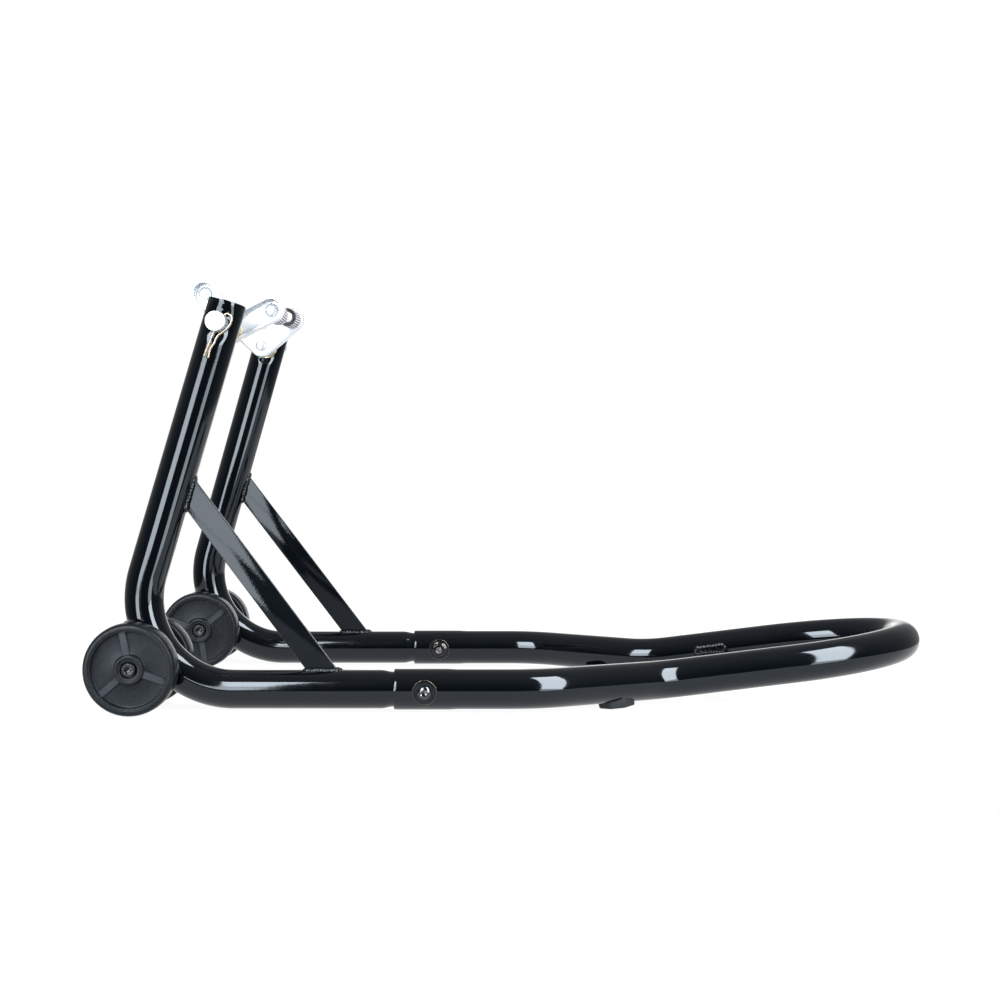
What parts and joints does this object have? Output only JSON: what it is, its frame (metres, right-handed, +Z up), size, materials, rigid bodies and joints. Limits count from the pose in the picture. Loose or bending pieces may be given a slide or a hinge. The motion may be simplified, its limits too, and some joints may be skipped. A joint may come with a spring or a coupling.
{
  "type": "paddock stand",
  "caption": "Motorcycle paddock stand: wheeled tubular legs with swivelling V-cradles on rubber-sleeved pegs, bolted to a U-shaped tubular handle.",
  "frame": {"origin": "on the floor, at the middle of the stand's length and width", "axes": "+X from the wheels to the handle, +Y to the right of a user who stands at the handle and faces the wheels, +Z up"},
  "size_m": [0.8572, 0.402, 0.4318],
  "materials": {
    "black_gloss_paint": "deep gloss black powder coat over steel",
    "black_satin_paint": "finely textured satin black powder coat over steel",
    "wheel_plastic": "satin black moulded nylon",
    "foot_rubber": "firm black rubber",
    "sleeve_rubber": "charcoal rubber",
    "black_oxide": "black oxide steel, oiled",
    "bright_steel": "bright plated steel",
    "yellow_zinc": "yellow passivated zinc plate",
    "spring_steel": "bright spring wire",
    "white_zinc": "bright white zinc plate"
  },
  "bodies": {
    "frame": {"leg_tube_left": "black_gloss_paint", "leg_gusset_left": "black_satin_paint", "pivot_washer_outer_left": "yellow_zinc", "pivot_washer_inner_left": "yellow_zinc", "pivot_spacer_left": "white_zinc", "axle_sleeve_left": "black_gloss_paint", "wheel_bush_outer_left": "white_zinc", "wheel_washer_outer_left": "white_zinc", "wheel_bolt_outer_left": "black_oxide", "wheel_bush_inner_left": "white_zinc", "wheel_washer_inner_left": "white_zinc", "wheel_bolt_inner_left": "black_oxide", "joint_bolt_left": "bright_steel", "joint_washer_outer_left": "yellow_zinc", "joint_washer_inner_left": "yellow_zinc", "joint_nut_left": "yellow_zinc", "leg_tube_right": "black_gloss_paint", "leg_gusset_right": "black_satin_paint", "pivot_washer_outer_right": "yellow_zinc", "pivot_washer_inner_right": "yellow_zinc", "pivot_spacer_right": "white_zinc", "axle_sleeve_right": "black_gloss_paint", "wheel_bush_outer_right": "white_zinc", "wheel_washer_outer_right": "white_zinc", "wheel_bolt_outer_right": "black_oxide", "wheel_bush_inner_right": "white_zinc", "wheel_washer_inner_right": "white_zinc", "wheel_bolt_inner_right": "black_oxide", "joint_bolt_right": "bright_steel", "joint_washer_outer_right": "yellow_zinc", "joint_washer_inner_right": "yellow_zinc", "joint_nut_right": "yellow_zinc", "handle_tube": "black_gloss_paint", "handle_brace": "black_gloss_paint", "foot_left": "foot_rubber", "foot_right": "foot_rubber"},
    "cradle_left": {"cradle_bracket_left": "white_zinc", "peg_rear_left": "white_zinc", "peg_sleeve_rear_left": "sleeve_rubber", "peg_front_left": "white_zinc", "peg_sleeve_front_left": "sleeve_rubber", "pivot_pin_left": "white_zinc", "pivot_clip_left": "spring_steel"},
    "cradle_right": {"cradle_bracket_right": "white_zinc", "peg_rear_right": "white_zinc", "peg_sleeve_rear_right": "sleeve_rubber", "peg_front_right": "white_zinc", "peg_sleeve_front_right": "sleeve_rubber", "pivot_pin_right": "white_zinc", "pivot_clip_right": "spring_steel"},
    "wheel_body_outer_left": {"wheel_outer_left": "wheel_plastic"},
    "wheel_body_inner_left": {"wheel_inner_left": "wheel_plastic"},
    "wheel_body_outer_right": {"wheel_outer_right": "wheel_plastic"},
    "wheel_body_inner_right": {"wheel_inner_right": "wheel_plastic"}
  },
  "joints": [
    {"name": "cradle_left_swivel", "type": "hinge", "parent": "frame", "child": "cradle_left", "pos_m": [-0.31091, -0.14304, 0.38173], "axis": [0.0005, 0.9995, -0.0332], "continuous": true},
    {"name": "cradle_right_swivel", "type": "hinge", "parent": "frame", "child": "cradle_right", "pos_m": [-0.31091, 0.14304, 0.38173], "axis": [-0.0005, 0.9995, 0.0332], "continuous": true},
    {"name": "outer_left_wheel_spin", "type": "hinge", "parent": "frame", "child": "wheel_body_outer_left", "pos_m": [-0.38364, -0.1892, 0.04498], "axis": [0, 1, 0], "continuous": true},
    {"name": "inner_left_wheel_spin", "type": "hinge", "parent": "frame", "child": "wheel_body_inner_left", "pos_m": [-0.38364, -0.1208, 0.04498], "axis": [0, 1, 0], "continuous": true},
    {"name": "outer_right_wheel_spin", "type": "hinge", "parent": "frame", "child": "wheel_body_outer_right", "pos_m": [-0.38364, 0.1892, 0.04498], "axis": [0, 1, 0], "continuous": true},
    {"name": "inner_right_wheel_spin", "type": "hinge", "parent": "frame", "child": "wheel_body_inner_right", "pos_m": [-0.38364, 0.1208, 0.04498], "axis": [0, 1, 0], "continuous": true}
  ]
}
